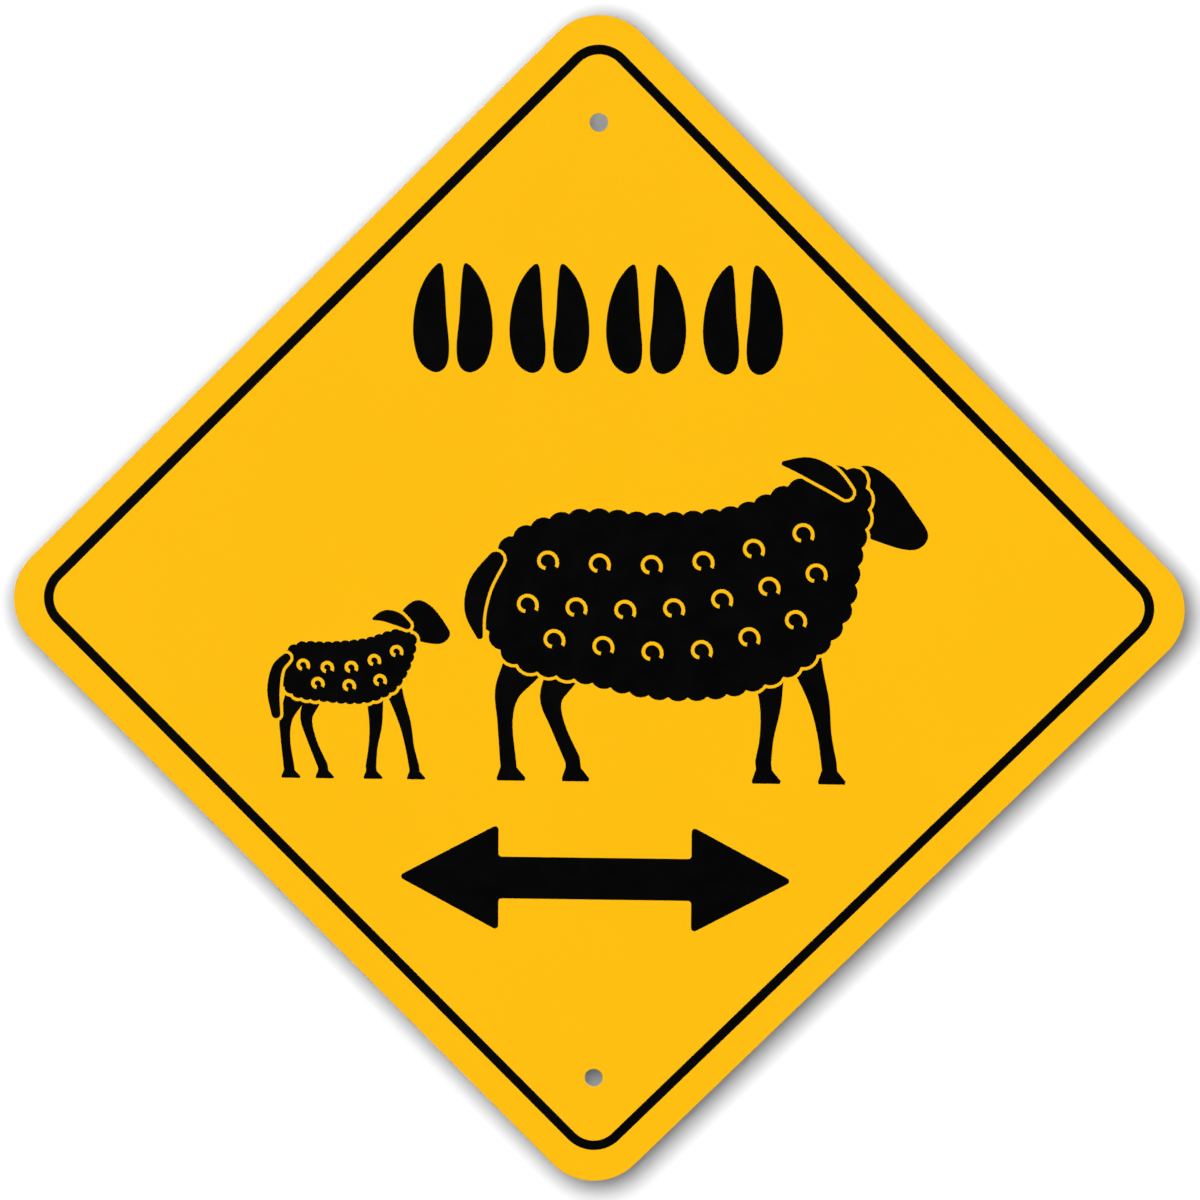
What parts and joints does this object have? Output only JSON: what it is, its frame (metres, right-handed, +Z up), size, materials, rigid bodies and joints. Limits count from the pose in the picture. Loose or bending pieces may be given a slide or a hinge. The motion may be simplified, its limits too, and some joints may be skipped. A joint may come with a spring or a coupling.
{
  "type": "sheep crossing sign",
  "caption": "Square sheet sign that stands on one corner, yellow with a black border line, hoof prints, a ewe with her lamb and a crossing arrow, with holes for fixing it to a post or fence.",
  "frame": {"origin": "on the back face of the sheet, midway between the upper and the lower fixing hole", "axes": "+Z up along the diagonal through both holes, printed face towards -Y, +X to the right for someone who reads the sign"},
  "size_m": [0.4138, 0.0011, 0.4138],
  "materials": {
    "yellow_enamel": "baked gloss enamel on sheet aluminium",
    "black_ink": "satin screen ink"
  },
  "bodies": {
    "root": {"panel": "yellow_enamel", "border_line": "black_ink", "hoof_prints": "black_ink", "ewe": "black_ink", "lamb": "black_ink", "crossing_arrow": "black_ink"}
  },
  "joints": []
}
